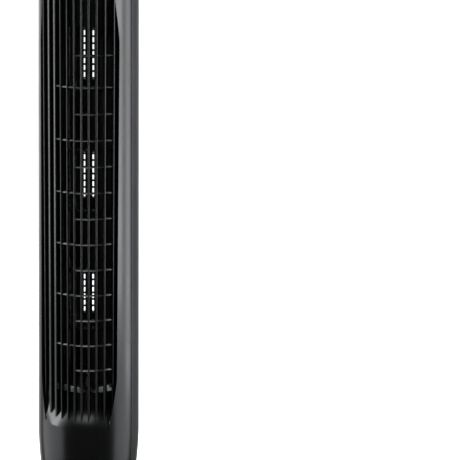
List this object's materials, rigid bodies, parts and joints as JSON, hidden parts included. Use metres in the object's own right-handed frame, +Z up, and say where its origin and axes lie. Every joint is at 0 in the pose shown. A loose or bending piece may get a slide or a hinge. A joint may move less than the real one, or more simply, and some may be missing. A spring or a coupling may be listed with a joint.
{
  "type": "tower fan",
  "caption": "Slim black oscillating tower fan: fluted front outlet, slatted rear intake, cross-flow impeller inside, touch keys on top, round base.",
  "frame": {"origin": "middle of the floor plane under the base, on the tower's axis", "axes": "+Z up along the tower, air leaves the front towards -Y, +X to the right seen from the front"},
  "size_m": [0.24, 0.24, 0.76],
  "materials": {
    "shell_gloss": "polished black moulding",
    "shell_satin": "fine satin black moulding",
    "inner_plastic": "dark grey moulding",
    "rubber": "black rubber",
    "steel": "bare turned steel",
    "plated_steel": "zinc-plated pressing",
    "nylon": "natural nylon",
    "stator": "laminations with copper windings",
    "board": "green solder mask",
    "window": "smoked red lens",
    "bronze": "sintered bronze"
  },
  "bodies": {
    "base": {"base_cover": "shell_gloss", "base_plate": "shell_satin", "ballast_ring": "steel", "swivel_motor": "plated_steel", "slip_ring": "nylon", "cord_gland": "rubber", "base_screw_1": "plated_steel", "base_screw_2": "plated_steel", "base_screw_3": "plated_steel", "base_screw_4": "plated_steel", "rubber_foot_1": "rubber", "rubber_foot_2": "rubber", "rubber_foot_3": "rubber", "rubber_foot_4": "rubber", "rubber_foot_5": "rubber"},
    "tower": {"front_shell": "shell_gloss", "rear_shell": "shell_satin", "intake_panel": "shell_satin", "grip_cup": "shell_satin", "top_cap": "shell_gloss", "control_panel": "shell_gloss", "indicator_window": "window", "control_board": "board", "power_button_switch": "steel", "speed_button_switch": "steel", "timer_button_switch": "steel", "swing_button_switch": "steel", "bearing_plate": "inner_plastic", "top_bush": "bronze", "duct_scroll": "inner_plastic", "duct_tongue": "inner_plastic", "motor_bracket": "plated_steel", "motor_lid": "plated_steel", "motor_cup": "plated_steel", "motor_stator": "stator", "motor_screw_1": "plated_steel", "motor_screw_2": "plated_steel", "motor_screw_3": "plated_steel", "motor_capacitor": "nylon", "tower_foot": "shell_satin", "swivel_sector": "nylon", "swivel_screw_1": "plated_steel", "swivel_screw_2": "plated_steel", "swivel_screw_3": "plated_steel", "shell_screw_low_left": "plated_steel", "shell_screw_low_right": "plated_steel", "shell_screw_high_left": "plated_steel", "shell_screw_high_right": "plated_steel"},
    "rotor": {"impeller": "shell_satin", "impeller_stub": "steel", "motor_rotor": "steel", "motor_shaft": "steel"},
    "drive": {"drive_pinion": "nylon", "pinion_shaft": "steel"},
    "power_key": {"power_button": "inner_plastic"},
    "speed_key": {"speed_button": "inner_plastic"},
    "timer_key": {"timer_button": "inner_plastic"},
    "swing_key": {"swing_button": "inner_plastic"}
  },
  "joints": [
    {"name": "tower_swivel", "type": "hinge", "parent": "base", "child": "tower", "pos_m": [0, 0, 0.041], "axis": [0, 0, 1], "range_deg": [-40, 40]},
    {"name": "pinion_turn", "type": "hinge", "parent": "base", "child": "drive", "pos_m": [0, 0.045, 0.028], "axis": [0, 0, 1], "range_deg": [-162, 162]},
    {"name": "impeller_spin", "type": "hinge", "parent": "tower", "child": "rotor", "pos_m": [0, 0, 0.41], "axis": [0, 0, 1], "continuous": true},
    {"name": "power_press", "type": "slide", "parent": "tower", "child": "power_key", "axis": [0, 0, -1], "range_m": [0, 0.001], "stiffness_N_per_m": 1200, "springref_m": -0.0003},
    {"name": "speed_press", "type": "slide", "parent": "tower", "child": "speed_key", "axis": [0, 0, -1], "range_m": [0, 0.001], "stiffness_N_per_m": 1200, "springref_m": -0.0003},
    {"name": "timer_press", "type": "slide", "parent": "tower", "child": "timer_key", "axis": [0, 0, -1], "range_m": [0, 0.001], "stiffness_N_per_m": 1200, "springref_m": -0.0003},
    {"name": "swing_press", "type": "slide", "parent": "tower", "child": "swing_key", "axis": [0, 0, -1], "range_m": [0, 0.001], "stiffness_N_per_m": 1200, "springref_m": -0.0003}
  ],
  "couplings": [
    {"joint": "pinion_turn", "follows": "tower_swivel", "ratio": -4}
  ]
}
